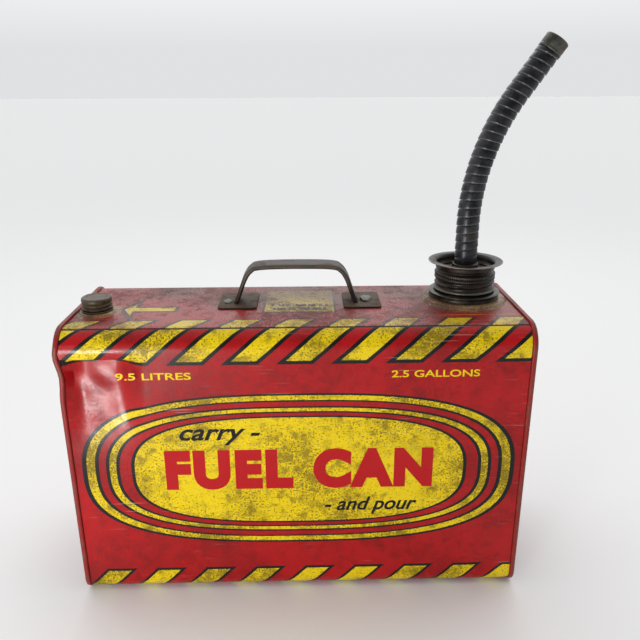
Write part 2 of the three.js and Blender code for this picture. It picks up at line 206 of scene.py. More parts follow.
def divide(axis, spacing):
    """Cuts every edge along an axis that is longer than the spacing allows."""
    mesh = bmesh.from_edit_mesh(bpy.context.object.data)
    spans = {round(e.calc_length(), 5) for e in mesh.edges if runs_along(e, axis, 2 * spacing)}
    for span in spans:
        pick("EDGE", lambda e: runs_along(e, axis) and abs(e.calc_length() - span) < 0.02 * MM)
        bpy.ops.mesh.subdivide(number_cuts=round(span / spacing) - 1)


def apply_modifier(piece, name, kind, **settings):
    """Adds one modifier with its settings and applies it."""
    modifier = piece.modifiers.new(name, kind)
    for setting, value in settings.items():
        setattr(modifier, setting, value)
    bpy.context.view_layer.objects.active = piece
    bpy.ops.object.modifier_apply(modifier=name)


def smooth(piece, angle=35):
    bpy.ops.object.select_all(action="DESELECT")
    piece.select_set(True)
    bpy.context.view_layer.objects.active = piece
    bpy.ops.object.shade_smooth_by_angle(angle=math.radians(angle))


def bell(value, centre, reach):
    return math.exp(-(((value - centre) / reach) ** 2))


def ramp(value, start, end):
    """0 at start, 1 at end, smooth between."""
    t = min(max((value - start) / (end - start), 0), 1)
    return t * t * (3 - 2 * t)


def knocked(co):
    """Where a point of the shell lies after the knocks that the can has had (metres)."""
    x, y, z = co.x / MM, co.y / MM, co.z / MM
    near_end = ramp(x, -150, -171)
    x += near_end * (-1.3 * bell(z, 206, 7) + 1.6 * bell(z, 188, 10))
    if y < -60:
        facet = max(z - 118, 0) / 82
        corner = ramp(z, 205, 199) * ramp(x, -170, -164) * ramp(x, -112, -132) * facet ** 1.5
        ripple = math.sin(x / 5.5 + z / 9) + math.sin(z / 6.5 - x / 14) + 0.5 * math.sin(z / 3.4 + x / 9)
        y += corner * (11 + 0.6 * ripple)
        y += 1.1 * bell(x, 150, 9) * bell(z, 17, 7)
        unprinted = ramp(abs(x), 108, 125) * ramp(abs(x), 170, 155)
        y += 0.35 * unprinted * noise.noise(Vector((x / 55, z / 45, 3)))
    return Vector((x, y, z)) * MM


body_wrap = block("can_body_wrap", (wrap_low.x, wrap_low.y, 0), (wrap_high.x, wrap_high.y, TOP))
bpy.ops.object.mode_set(mode="EDIT")
round_long_edges(True, SHOULDER, 18)
round_long_edges(False, CORNER, 12)
pick("FACE", lambda f: abs(f.normal.x) > 0.9)
bpy.ops.mesh.delete(type="FACE")
bpy.ops.mesh.select_all(action="SELECT")
bpy.ops.mesh.bisect(plane_co=(0, 0, CREASE_Z), plane_no=(0, 0, 1), clear_outer=True)
for axis in (0, 1, 2):
    divide(axis, PANEL_GRID)
bpy.ops.object.mode_set(mode="OBJECT")


def sheet_height(co):
    """Distance up the flattened wrap from the middle of the lower corner's upper end."""
    reach = abs(co.y)
    if co.z > SHOULDER_Z:
        return SHOULDER_Z + SHOULDER * math.atan2(co.z - SHOULDER_Z, reach - SHOULDER_Y)
    if co.z >= CORNER:
        return co.z
    if reach > CORNER_Y:
        return CORNER - CORNER * math.atan2(CORNER - co.z, reach - CORNER_Y)
    return CORNER - CORNER * math.pi / 2 - (CORNER_Y - reach)


def lay_print_map(piece, place):
    """A UV map in millimetres of flat sheet, so that printing follows the bent metal."""
    while piece.data.uv_layers:
        piece.data.uv_layers.remove(piece.data.uv_layers[0])
    layer = piece.data.uv_layers.new(name="flat_sheet")
    for face in piece.data.polygons:
        behind = face.center.y > 0
        for loop in face.loop_indices:
            co = piece.data.vertices[piece.data.loops[loop].vertex_index].co
            layer.data[loop].uv = Vector(place(co, behind)) / MM


# The same picture is printed front and back, each the right way round.
lay_print_map(body_wrap, lambda co, behind: (-co.x if behind else co.x, sheet_height(co)))
for vertex in body_wrap.data.vertices:
    vertex.co = knocked(vertex.co)
apply_modifier(body_wrap, "sheet", "SOLIDIFY", thickness=SHEET, offset=-1)
smooth(body_wrap)

# Lithographed tinplate: flat inks baked on tin under a clear varnish. It is glossy, the
# yellow has gone olive where moisture crept under it, and the red has darker smudges.
INK_RED = "aa1014"
INK_YELLOW = "e2c40c"
INK_BLACK = "161617"
STRIPE_HALF_PITCH = 20.0
# Level of the stripes' foot, slope, middle of one stripe there, half width, outline, and
# the levels between which the black and the yellow are printed.
UPPER_STRIPES = (203.15, 1.12, -117.4, 9.2, 4.3, (198.8, 260), (201.5, 260))
LOWER_STRIPES = (20, 1.0, -145.5, 9.0, 3.0, (-70, 21.5), (-5, 19.3))
CREASE_SHADE = 1.1  # width of the black line painted along the crease as the shade in the joint
OVAL_CENTRE = (0.4, 110.2)
OVAL_POWER = 2.8
OVAL_RINGS = [  # half length, half height and ink of each ring, from the outside in
    (166, 65.3, INK_BLACK), (162.6, 63.7, INK_YELLOW), (156.2, 59.8, INK_BLACK), (153.3, 58.6, INK_RED),
    (148, 54.8, INK_BLACK), (145.4, 53.4, INK_YELLOW), (140.2, 50.6, INK_BLACK), (137.6, 49.4, INK_RED),
    (128.8, 46.9, INK_BLACK), (126.2, 45.6, INK_YELLOW),
]


def print_stripes(tree, ink, across, up, foot, slope, centre, half_width, outline, black_span, yellow_span):
    """Slanted black blocks, one stripe apart, with a yellow block inside each."""
    lean = add_node(tree, "Math", up, -slope, slope * foot - centre, operation="MULTIPLY_ADD")
    shifted = add_node(tree, "Math", across, lean, operation="ADD")
    distance = add_node(tree, "Math", shifted, STRIPE_HALF_PITCH, operation="PINGPONG")
    for colour, reach, (low, high) in (
        (INK_BLACK, half_width + outline, black_span),
        (INK_YELLOW, half_width, yellow_span),
    ):
        level = add_node(tree, "Math", up, (low + high) / 2, (high - low) / 2, operation="COMPARE")
        bar = add_node(tree, "Math", distance, reach, operation="LESS_THAN")
        bar = add_node(tree, "Math", bar, level, operation="MULTIPLY")
        ink = add_node(tree, "MixRGB", bar, ink, linear(colour))
    return ink


def finish_print(tree, shader, flat, ink, grime, dust=0.0):
    """Ages a print: olive creeping stains, fine pits and scuffs, with varnish worn duller there.
    The two shares of grime are how much of the stains the darkest and the palest ink show."""
    patches = add_node(tree, "TexNoise", flat, None, 1 / 70, 2.0, 0.5)
    density = add_node(tree, "MapRange", patches, 0.3, 0.7, -0.07, 0.12)
    clouds = add_node(tree, "TexNoise", flat, None, 1 / 9, 6.0, 0.68)  # stains 5 to 10 mm across
    clouds = add_node(tree, "Math", clouds, density, operation="ADD")
    creeping = add_node(tree, "MapRange", clouds, 0.51, 0.64, 0.0, 0.8)
    specks = add_node(tree, "TexNoise", flat, None, 1 / 1.5, 3.0, 0.6)  # pits of about 1 mm
    specks = add_node(tree, "Math", specks, density, operation="ADD")
    pits = add_node(tree, "MapRange", specks, 0.54, 0.63)
    stained = add_node(tree, "Math", creeping, pits, operation="MAXIMUM")
    brightness = add_node(tree, "SeparateColor", ink, out=1)
    strength = add_node(tree, "MapRange", brightness, 0.0, 0.6, grime[0], grime[1])
    stain = add_node(tree, "Math", stained, strength, operation="MULTIPLY")
    tint = add_node(tree, "MixRGB", stain, (1, 1, 1, 1), linear("857f5c"))
    aged = add_node(tree, "MixRGB", 1.0, ink, tint, blend_type="MULTIPLY")

    smudges = add_node(tree, "TexNoise", flat, None, 1 / 28, 5.0, 0.62)
    smudge = add_node(tree, "MapRange", smudges, 0.5, 0.8, 0.0, 0.45)
    aged = add_node(tree, "MixRGB", smudge, aged, linear("3a1712"), blend_type="MULTIPLY")

    # Scuffs are fine slanted scratches, 1.6 mm apart, that come in patches.
    stretched = add_node(tree, "Mapping", flat, None, (0, 0, math.radians(28)), (1 / 55, 1 / 1.6, 1))
    scratches = add_node(tree, "TexNoise", stretched, None, 1.0, 2.0, 0.5)
    scratches = add_node(tree, "MapRange", scratches, 0.66, 0.72)
    places = add_node(tree, "TexNoise", flat, None, 1 / 48, 1.0)
    places = add_node(tree, "MapRange", places, 0.52, 0.62, 0.0, 0.4)
    scuff = add_node(tree, "Math", scratches, places, operation="MULTIPLY")
    aged = add_node(tree, "MixRGB", scuff, aged, linear("c9b6a6"))
    if dust:
        film = add_node(tree, "MapRange", smudges, 0.35, 0.65, 0.2 * dust, 1.4 * dust)
        aged = add_node(tree, "MixRGB", film, aged, linear("7a4a3e"))
    tree.links.new(aged, shader.inputs["Base Color"])

    roughness = add_node(tree, "Math", stain, 0.3, 0.2 + 0.25 * dust, operation="MULTIPLY_ADD")
    tree.links.new(roughness, shader.inputs["Roughness"])
    waves = add_node(tree, "TexNoise", flat, None, 1 / 22, 2.0, 0.4)
    relief = add_node(tree, "Math", stain, -0.02, waves, operation="MULTIPLY_ADD")
    tree.links.new(add_node(tree, "Bump", 0.35, 0.4 * MM, None, relief), shader.inputs["Normal"])


litho_wrap, tree, shader = new_material("lithographed_tinplate_wrap", ior=1.5, specular_ior_level=0.26)
flat = add_node(tree, "UVMap", uv_map="flat_sheet")
across = add_node(tree, "SeparateXYZ", flat, out=0)
up = add_node(tree, "SeparateXYZ", flat, out=1)
ink = linear(INK_RED)
side = add_node(tree, "Math", across, -OVAL_CENTRE[0], operation="ADD")
side = add_node(tree, "Math", side, operation="ABSOLUTE")
rise = add_node(tree, "Math", up, -OVAL_CENTRE[1], operation="ADD")
rise = add_node(tree, "Math", rise, operation="ABSOLUTE")
for half_length, half_height, colour in OVAL_RINGS:
    long_part = add_node(tree, "Math", side, half_length, operation="DIVIDE")
    long_part = add_node(tree, "Math", long_part, OVAL_POWER, operation="POWER")
    high_part = add_node(tree, "Math", rise, half_height, operation="DIVIDE")
    high_part = add_node(tree, "Math", high_part, OVAL_POWER, operation="POWER")
    inside = add_node(tree, "Math", long_part, high_part, operation="ADD")
    inside = add_node(tree, "Math", inside, 1.0, operation="LESS_THAN")
    ink = add_node(tree, "MixRGB", inside, ink, linear(colour))
ink = print_stripes(tree, ink, across, up, *UPPER_STRIPES)
ink = print_stripes(tree, ink, across, up, *LOWER_STRIPES)
# Painted shade: a black line along the crease where the top sheet laps under the wrap.
crease_height = (SHOULDER_Z + SHOULDER * (math.pi / 2 - CREASE)) / MM
crease_shade = add_node(tree, "Math", up, crease_height - CREASE_SHADE, operation="GREATER_THAN")
ink = add_node(tree, "MixRGB", crease_shade, ink, linear(INK_BLACK))
finish_print(tree, shader, flat, ink, (0.5, 1.0))
body_wrap.data.materials.append(litho_wrap)
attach(body_wrap, "can")
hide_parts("body_wrap")

# ---------------------------------------------------------------- printed words
# Plain block words in the two inks, printed on the front and back sheets. They name
# what the can is for and what it holds, and are only a film of ink thick.

INK_FILM = 0.12 * MM
FRONT_FACE = wrap_high.y


def printed_word(name, text, left, right, foot, height, ink_material, slant, back, weight, spacing=1.0):
    """One word as a flat film of ink, fitted between two places on the front or back sheet."""
    bpy.ops.object.text_add()
    word = bpy.context.object
    word.name = name
    word.data.body = text
    word.data.shear = slant
    word.data.offset = weight  # thickens the strokes
    word.data.space_character = spacing
    word.data.extrude = 0.001
    word.data.resolution_u = 6
    bpy.ops.object.convert(target="MESH")
    word = bpy.context.object
    low = Vector([min(v.co[axis] for v in word.data.vertices) for axis in range(3)])
    high = Vector([max(v.co[axis] for v in word.data.vertices) for axis in range(3)])
    turn = 1 if back else -1
    for vertex in word.data.vertices:
        along = left + (right - left) * (vertex.co.x - low.x) / (high.x - low.x)
        up = foot + height * (vertex.co.y - low.y) / (high.y - low.y)
        lift = INK_FILM if vertex.co.z > (low.z + high.z) / 2 else -SHEET / 2
        vertex.co = Vector((-turn * along * MM, turn * (FRONT_FACE + lift), up * MM))
    word.data.uv_layers.new(name="flat_sheet")
    for loop in word.data.loops:
        co = word.data.vertices[loop.vertex_index].co
        word.data.uv_layers[0].data[loop.index].uv = Vector((-turn * co.x, co.z)) / MM
    word.data.materials.append(ink_material)
    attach(word, "can")
    return word


def ink_only(name, colour, grime):
    """The wrap's ageing over one ink."""
    material, tree, shader = new_material(name, ior=1.5, specular_ior_level=0.22)
    flat = add_node(tree, "UVMap", uv_map="flat_sheet")
    finish_print(tree, shader, flat, linear(colour), grime)
    return material


red_print = ink_only("varnished_red_ink", "ae1216", (0.45, 0.9))
black_print = ink_only("varnished_black_ink", INK_BLACK, (0.2, 0.9))
yellow_print = ink_only("varnished_yellow_ink", INK_YELLOW, (0.3, 0.6))

for back in (False, True):
    sheet = "back" if back else "front"
    printed_word(f"{sheet}_main_word", "FUEL CAN", -102.6, 103, 94.2, 35, red_print, 0, back, 0.07, 1.2)
    printed_word(f"{sheet}_upper_word", "carry -", -90, -29, 133, 14, black_print, 0.35, back, 0.02)
    printed_word(f"{sheet}_lower_word", "- and pour", 19.5, 92, 70, 16, black_print, 0.35, back, 0.02)
    printed_word(f"{sheet}_left_measure", "9.5 LITRES", -133, -78, 187.5, 5.6, yellow_print, 0, back, 0.015)
    printed_word(f"{sheet}_right_measure", "2.5 GALLONS", 69, 134, 187.5, 5.6, yellow_print, 0, back, 0.015)

# ---------------------------------------------------------------- end panels
# Each end is a pressed tinplate pan. Its flange and the edges of the wrap and the top
# sheet are rolled together into a proud double seam, worn to brown along its crest.

SEAM_WIDTH = 3.7 * MM
SEAM_TOP_RADIUS = 17.5 * MM
SEAM_FOOT_RADIUS = 13 * MM
SEAM_DEPTH = 3.4 * MM  # from the crest to the inside wall
PAN_DEPTH = 5.4 * MM
SEAM_ROUND = 1.3 * MM
INSIDE_REACH = 2.3 * MM

seam_low, seam_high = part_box("right_end_panel")


def end_panel(name, side):
    """The pan and its seam; side is 1 on the right and -1 on the left."""
    outer, inner = side * seam_high.x, side * (seam_high.x - SEAM_WIDTH)
    piece = block(name, (min(outer, inner), seam_low.y, 0), (max(outer, inner), seam_high.y, seam_high.z))
    bpy.ops.object.mode_set(mode="EDIT")
    round_long_edges(True, SEAM_TOP_RADIUS, 18)
    round_long_edges(False, SEAM_FOOT_RADIUS, 12)
    for facing, depth in ((side, PAN_DEPTH), (-side, -INSIDE_REACH)):
        pick("FACE", lambda f: f.normal.x * facing > 0.9)
        bpy.ops.mesh.inset(thickness=SEAM_DEPTH, depth=0)
        bpy.ops.mesh.extrude_region_move(TRANSFORM_OT_translate={"value": (-side * depth, 0, 0)})
    divide(2, PANEL_GRID)
    pick("EDGE", lambda e: min(abs(middle(e).x - outer), abs(middle(e).x - inner)) < 1e-5
         and abs(e.verts[0].co.x - e.verts[1].co.x) < 1e-6 and e.calc_face_angle(0) > 0.5)
    bpy.ops.mesh.bevel(offset=SEAM_ROUND, segments=4, affect="EDGES")
    bpy.ops.mesh.select_all(action="SELECT")
    bpy.ops.mesh.normals_make_consistent(inside=False)
    bpy.ops.object.mode_set(mode="OBJECT")
    for vertex in piece.data.vertices:
        vertex.co = knocked(vertex.co)
    smooth(piece)
    return piece


# Brush-touched red enamel over tinplate, dry and brownish, rubbed to rusty metal on the crest.
seam_enamel, tree, shader = new_material("rubbed_red_enamel", ior=1.48, specular_ior_level=0.3)
place = add_node(tree, "TexCoord", out=3)
rub = add_node(tree, "TexNoise", place, None, 1 / 0.011, 6.0, 0.7)  # 11 mm patches
fine = add_node(tree, "TexNoise", place, None, 1 / 0.0016, 3.0, 0.6)
crest = add_node(tree, "SeparateXYZ", place, out=0)
crest = add_node(tree, "Math", crest, operation="ABSOLUTE")
crest = add_node(tree, "MapRange", crest, 0.1722, 0.1748, 0.0, 0.16)
worn = add_node(tree, "Math", rub, crest, operation="ADD")
worn = add_node(tree, "MapRange", worn, 0.52, 0.7)
paint = add_node(tree, "MixRGB", fine, linear("761a18"), linear("982420"))
rust = add_node(tree, "MixRGB", fine, linear("4a2a22"), linear("8a5240"))
tree.links.new(add_node(tree, "MixRGB", worn, paint, rust), shader.inputs["Base Color"])
tree.links.new(add_node(tree, "MapRange", worn, 0.0, 1.0, 0.32, 0.6), shader.inputs["Roughness"])
tree.links.new(add_node(tree, "Bump", 0.5, 0.15 * MM, None, fine), shader.inputs["Normal"])

for name, side in (("left", -1), ("right", 1)):
    panel = end_panel(f"can_{name}_end", side)
    panel.data.materials.append(seam_enamel)
    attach(panel, "can")
    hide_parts(f"{name}_end_panel")

# ---------------------------------------------------------------- top panel
# A flat lithographed sheet whose shoulders step down and lap under the wrap. Low rings
# are pressed up round the filler and the vent, where the printing has been rubbed bare.

LAP_STEP = 0.8 * MM
LAP_LENGTH = 4 * MM
SEAM_GAP = 0.25 * MM  # between the wrap's edge and the crease in the top sheet
TOP_GRID = 7 * MM
NECK = ((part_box("filler_neck")[0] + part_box("filler_neck")[1]) / 2).xy
VENT = ((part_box("vent_neck")[0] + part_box("vent_neck")[1]) / 2).xy
NECK_RING = [
    (34.9, -0.5), (34.9, 0), (34.5, 0.15), (32.5, 2.4), (32.0, 2.75), (21.2, 2.75), (21.2, 2.15), (33, 2.1),
]
VENT_RING = [(14.4, -0.5), (14.4, 0), (13.2, 0.9), (13.0, 1.0), (8.5, 1.0), (8.5, 0.4), (13.5, 0.4)]


def formed(name, across, along, place):
    """A flat grid of cells bent so that each crossing lies where place(i, j) says, with
    the edges that meet welded and the faces turned outwards."""
    bpy.ops.mesh.primitive_grid_add(x_subdivisions=across, y_subdivisions=along, size=1)
    piece = bpy.context.object
    piece.name = piece.data.name = name
    for number, vertex in enumerate(piece.data.vertices):
        vertex.co = place(number % (across + 1), number // (across + 1))
    bpy.ops.object.mode_set(mode="EDIT")
    bpy.ops.mesh.select_all(action="SELECT")
    bpy.ops.mesh.remove_doubles(threshold=0.002 * MM)
    bpy.ops.mesh.dissolve_degenerate(threshold=0.001 * MM)
    bpy.ops.mesh.select_all(action="SELECT")
    bpy.ops.mesh.normals_make_consistent(inside=False)
    bpy.ops.object.mode_set(mode="OBJECT")
    return piece


def turned(name, section, centre, base=0.0, steps=96):
    """A closed section of (radius, height) millimetres turned about an upright axis."""
    count = len(section)

    def place(i, j):
        radius, height = section[i % count]
        angle = 2 * math.pi * j / steps
        return Vector((
            centre[0] + radius * MM * math.cos(angle),
            centre[1] + radius * MM * math.sin(angle),
            base + height * MM,
        ))

    return formed(name, count, steps, place)


def join(pieces):
    bpy.ops.object.select_all(action="DESELECT")
    for piece in pieces:
        piece.select_set(True)
    bpy.context.view_layer.objects.active = pieces[0]
    bpy.ops.object.join()
    return pieces[0]


top_low = (wrap_low.x, wrap_low.y, SHOULDER_Z / 2)
top_panel = block("can_top_panel", top_low, (wrap_high.x, wrap_high.y, TOP))
bpy.ops.object.mode_set(mode="EDIT")
round_long_edges(True, SHOULDER, 18)
pick("FACE", lambda f: abs(f.normal.x) > 0.9)
bpy.ops.mesh.delete(type="FACE")
bpy.ops.mesh.select_all(action="SELECT")
bpy.ops.mesh.bisect(plane_co=(0, 0, CREASE_Z + SEAM_GAP), plane_no=(0, 0, 1), clear_inner=True)
for side in (-1, 1):
    outward = Vector((0, side * math.sin(CREASE), math.cos(CREASE)))
    downward = Vector((0, side * math.cos(CREASE), -math.sin(CREASE)))
    lowest = CREASE_Z + 1.2 * SEAM_GAP
    pick("EDGE", lambda e: runs_along(e, 0) and middle(e).z < lowest and middle(e).y * side > 0)
    for move in (-LAP_STEP * outward, LAP_LENGTH * downward - LAP_STEP * outward):
        bpy.ops.mesh.extrude_edges_move(TRANSFORM_OT_translate={"value": move})
for axis in (0, 1):
    divide(axis, TOP_GRID)
bpy.ops.object.mode_set(mode="OBJECT")
for vertex in top_panel.data.vertices:
    slack = ramp(abs(vertex.co.y), SHOULDER_Y, SHOULDER_Y / 2)
    slack *= ramp(abs(vertex.co.x), wrap_high.x, 0.9 * wrap_high.x)
    vertex.co.z -= 0.35 * MM * slack * (0.6 + noise.noise(vertex.co / (45 * MM)))
cutters = []
for centre, radius in ((NECK, 34.6), (VENT, 14.1)):
    place = (*centre, TOP)
    bpy.ops.mesh.primitive_cylinder_add(vertices=96, radius=radius * MM, depth=20 * MM, location=place)
    cutters.append(bpy.context.object)
cutter = join(cutters)
apply_modifier(top_panel, "openings", "BOOLEAN", object=cutter, operation="DIFFERENCE", solver="EXACT")
bpy.data.objects.remove(cutter)
apply_modifier(top_panel, "sheet", "SOLIDIFY", thickness=SHEET, offset=-1)
rings = [
    turned("neck_ring", NECK_RING, NECK, TOP),
    turned("vent_ring", VENT_RING, VENT, TOP, 64),
]
top_panel = join([top_panel] + rings)
smooth(top_panel, 30)
lay_print_map(top_panel, lambda co, behind: (co.x, co.y))

# The same lithographed tinplate, lying flat: dusty, dulled and stained brown round the fittings.
TOP_STRIPES = (-37.5, 0.66, -117.0, 9.2, 3.6, (-70, -35.5), (-70, -37.5))
# Boxes on the sheet are given by their left, right, front and back edges.
LABEL = (-28, 30.5, -20.5, 39)
LABEL_BORDER = 2.0
LABEL_ROWS = ((-21, 24.5, -14.6, -8.2), (-21, 24.5, -5, 1))
ARROW_TIP = (-137.7, -9.5)
ARROW_HEAD_END = -128.2
ARROW_SHAFT = (-131, -96, -14.5, -4)
ORANGE_LINE = (98, 167, -31, -29.6)
# width of the black line painted as shade along the top sheet's creases
TOP_CREASE_SHADE = 0.5
BARE_RINGS = ((NECK, 35), (VENT, 17))
DIRTY_SPOTS = ((-48, 16), (-16, 34), (16, 34), (46, 20), (92, 32), (-100, 42))


def in_box(tree, across, up, left, right, low, high):
    """1 inside a box on the flat sheet, else 0."""
    wide = add_node(tree, "Math", across, (left + right) / 2, (right - left) / 2, operation="COMPARE")
    tall = add_node(tree, "Math", up, (low + high) / 2, (high - low) / 2, operation="COMPARE")
    return add_node(tree, "Math", wide, tall, operation="MULTIPLY")


def ragged_distance(tree, flat, edge, centre, swing):
    """Millimetres from a point on the flat sheet, with an edge that wanders by the swing."""
    away = add_node(tree, "VectorMath", flat, (*centre, 0), operation="DISTANCE", out=1)
    away = add_node(tree, "Math", away, -swing / 2, operation="ADD")
    return add_node(tree, "Math", edge, swing, away, operation="MULTIPLY_ADD")


litho_top, tree, shader = new_material("lithographed_tinplate_top", ior=1.5, specular_ior_level=0.35)
flat = add_node(tree, "UVMap", uv_map="flat_sheet")
across = add_node(tree, "SeparateXYZ", flat, out=0)
back = add_node(tree, "SeparateXYZ", flat, out=1)
ink = print_stripes(tree, linear("a8141c"), across, back, *TOP_STRIPES)
# Painted shade: a black line along both creases where the top sheet steps down under the wrap.
crease_reach = (SHOULDER_Y + SHOULDER * math.sin(CREASE)) / MM
from_middle = add_node(tree, "Math", back, operation="ABSOLUTE")
crease_shade = add_node(tree, "Math", from_middle, crease_reach - TOP_CREASE_SHADE, operation="GREATER_THAN")
ink = add_node(tree, "MixRGB", crease_shade, ink, linear(INK_BLACK))
left, right, front, rear = LABEL
for border, colour in ((0, INK_BLACK), (LABEL_BORDER, INK_YELLOW)):
    label = in_box(tree, across, back, left + border, right - border, front + border, rear - border)
    ink = add_node(tree, "MixRGB", label, ink, linear(colour))
letters = add_node(tree, "Mapping", flat, None, None, (1 / 3.2, 1 / 9, 1))
letters = add_node(tree, "TexNoise", letters, None, 1.0, 1.0, 0.4)
letters = add_node(tree, "Math", letters, 0.46, operation="GREATER_THAN")
for row in LABEL_ROWS:
    marks = add_node(tree, "Math", in_box(tree, across, back, *row), letters, operation="MULTIPLY")
    ink = add_node(tree, "MixRGB", marks, ink, linear(INK_BLACK))
sideways = add_node(tree, "Math", back, -ARROW_TIP[1], operation="ADD")
sideways = add_node(tree, "Math", sideways, operation="ABSOLUTE")
left, right, front, rear = ARROW_SHAFT
for grow, colour in ((2.2, INK_BLACK), (-0.9, INK_YELLOW)):
    slant = add_node(tree, "Math", sideways, -0.5, 1.5 * grow - ARROW_TIP[0], operation="MULTIPLY_ADD")
    past_tip = add_node(tree, "Math", across, slant, operation="ADD")
    past_tip = add_node(tree, "Math", past_tip, 0, operation="GREATER_THAN")
    head = add_node(tree, "Math", across, ARROW_HEAD_END + grow, operation="LESS_THAN")
    head = add_node(tree, "Math", head, past_tip, operation="MULTIPLY")
    shaft = in_box(tree, across, back, left, right + grow, front - grow, rear + grow)
    arrow = add_node(tree, "Math", head, shaft, operation="MAXIMUM")
    ink = add_node(tree, "MixRGB", arrow, ink, linear(colour))
ink = add_node(tree, "MixRGB", in_box(tree, across, back, *ORANGE_LINE), ink, linear("e08a1c"))
edge = add_node(tree, "TexNoise", flat, None, 1 / 6, 5.0, 0.6)
for centre, radius in BARE_RINGS:
    away = ragged_distance(tree, flat, edge, centre / MM, 7.0)
    bare = add_node(tree, "MapRange", away, radius + 3, radius - 1, 0.0, 0.9)
    ink = add_node(tree, "MixRGB", bare, ink, linear("9c8558"))
for spot in DIRTY_SPOTS:
    away = ragged_distance(tree, flat, edge, spot, 22.0)
    dirty = add_node(tree, "MapRange", away, 38, 12, 0.0, 0.7)
    ink = add_node(tree, "MixRGB", dirty, ink, linear("4e3626"))
finish_print(tree, shader, flat, ink, (1.0, 1.0), dust=0.32)
top_panel.data.materials.append(litho_top)
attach(top_panel, "can")
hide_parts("top_panel")

# ---------------------------------------------------------------- filler neck
# A turned-up steel flange soldered over the opening, with the threaded tube that the
# collar screws on. Years of fuel and handling have left it dark and shiny.

NECK_PROFILE = [
    (19.6, 221.5), (20.9, 221.5), (20.9, 227.3), (27.4, 227.3), (28.1, 227.7), (27.7, 229.2),
    (27.9, 230.6), (28.6, 231.2), (28.6, 231.7), (27.9, 232.2), (26.6, 232.35), (25.4, 232.6),
    (21.6, 232.6), (20.9, 233.3), (20.9, 238.4), (21.2, 238.9), (21.4, 239.2), (21.2, 239.5),
    (20.9, 240), (20.9, 242.4), (21.2, 242.9), (21.4, 243.2), (21.2, 243.5), (20.9, 244),
    (20.9, 245.2), (20.6, 245.5), (19.9, 245.5), (19.6, 245.2),
]
neck = turned("neck_flange", NECK_PROFILE, NECK)
smooth(neck, 40)


def worn_steel(name, dark, light, rust, rust_amount, roughness, patch, metallic=0.85, bright="b7b0a2"):
    """Old steel under oil and dirt: dark patches, rubbed lighter metal and rust. The
    vertex attribute rub raises the share of bright metal on crests and edges."""
    material, tree, shader = new_material(name, metallic=metallic)
    place = add_node(tree, "TexCoord", out=3)
    grime = add_node(tree, "TexNoise", place, None, 1 / (patch * MM), 5.0, 0.65)
    grain = add_node(tree, "TexNoise", place, None, 1 / (0.9 * MM), 3.0, 0.6)
    rub = add_node(tree, "Attribute", attribute_name="rub", out=2)
    patches = add_node(tree, "MapRange", grime, 0.35, 0.65)
    colour = add_node(tree, "MixRGB", patches, linear(dark), linear(light))
    spread = add_node(tree, "MapRange", grime, 0.72 - rust_amount, 0.78 - 0.6 * rust_amount)
    speckle = add_node(tree, "MapRange", grain, 0.3, 0.6, 0.4, 1.0)
    rusty = add_node(tree, "Math", spread, speckle, operation="MULTIPLY")
    colour = add_node(tree, "MixRGB", rusty, colour, linear(rust))
    broken = add_node(tree, "MapRange", grain, 0.3, 0.62, 0.45, 1.0)
    bared = add_node(tree, "Math", rub, broken, operation="MULTIPLY")
    colour = add_node(tree, "MixRGB", bared, colour, linear(bright))
    tree.links.new(colour, shader.inputs["Base Color"])
    dull = add_node(tree, "Math", rusty, 0.35, roughness, operation="MULTIPLY_ADD")
    tree.links.new(dull, shader.inputs["Roughness"])
    tree.links.new(add_node(tree, "Bump", 0.25, 0.12 * MM, None, grain), shader.inputs["Normal"])
    return material


def rub_crests(piece, amount):
    """Writes the rub attribute from a function of each vertex's place."""
    layer = piece.data.attributes.new("rub", "FLOAT", "POINT")
    for vertex, value in zip(piece.data.vertices, layer.data):
        value.value = amount(vertex.co)


# Oiled black steel: dark, smooth and shiny, with browner patches.
oiled_steel = worn_steel("oiled_black_steel", "262624", "45433c", "4a3a2c", 0.2, 0.3, 14)
rub_crests(neck, lambda co: 0.15 * bell(co.z, 231.7 * MM, 0.6 * MM))
neck.data.materials.append(oiled_steel)
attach(neck, "can")
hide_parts("filler_neck")

# ---------------------------------------------------------------- gasket, base disc and socket
# The sealing ring on the neck's lip is black rubber. The steel disc above it carries
# a short ferrule, soldered on, that grips the foot of the hose.

gasket = bpy.data.objects["spout_gasket"]
rubber, tree, shader = new_material("moulded_black_rubber", roughness=0.8, specular_ior_level=0.3)
place = add_node(tree, "TexCoord", out=3)
chalk = add_node(tree, "TexNoise", place, None, 1 / (2 * MM), 4.0, 0.6)
colour = add_node(tree, "MixRGB", chalk, linear("141312"), linear("2b2927"))
tree.links.new(colour, shader.inputs["Base Color"])
tree.links.new(add_node(tree, "Bump", 0.3, 0.1 * MM, None, chalk), shader.inputs["Normal"])
gasket.data.materials.clear()
gasket.data.materials.append(rubber)

disc = turned("hose_disc", [
    (7.9, 248.1), (20.7, 248.1), (21, 248.3), (21, 248.7), (20.7, 248.9), (14.2, 248.9),
    (13.6, 249.05), (13.0, 248.9), (7.9, 248.9), (7.6, 248.7), (7.6, 248.3),
], NECK)
smooth(disc, 40)
rub_crests(disc, lambda co: 0.0)
rusty_disc = worn_steel("rusted_sheet_steel", "3a2f26", "66543f", "5e3f26", 0.26, 0.5, 7, 0.5)
disc.data.materials.append(rusty_disc)
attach(disc, "spout")
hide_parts("spout_base_disc")

socket = turned("hose_ferrule", [
    (9.4, 249.2), (11.3, 249.2), (11.6, 249.4), (11.6, 249.8), (11.2, 250.1), (10.6, 250.6), (10.4, 251.4),
    (10.4, 253.6), (10.1, 254.1), (9.7, 254.2), (9.4, 254.0),
], NECK, steps=64)
smooth(socket, 40)
rub_crests(socket, lambda co: 0.1 * ramp(co.z, 253.4 * MM, 254.2 * MM))
socket.data.materials.append(oiled_steel)
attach(socket, "spout")
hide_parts("hose_socket")

# ---------------------------------------------------------------- screw collar
# Pressed from one piece of sheet steel: a curled foot, a rolled thread, two rows of
# knurling, an inward bead that bears on the disc, and a wide out-turned brim.

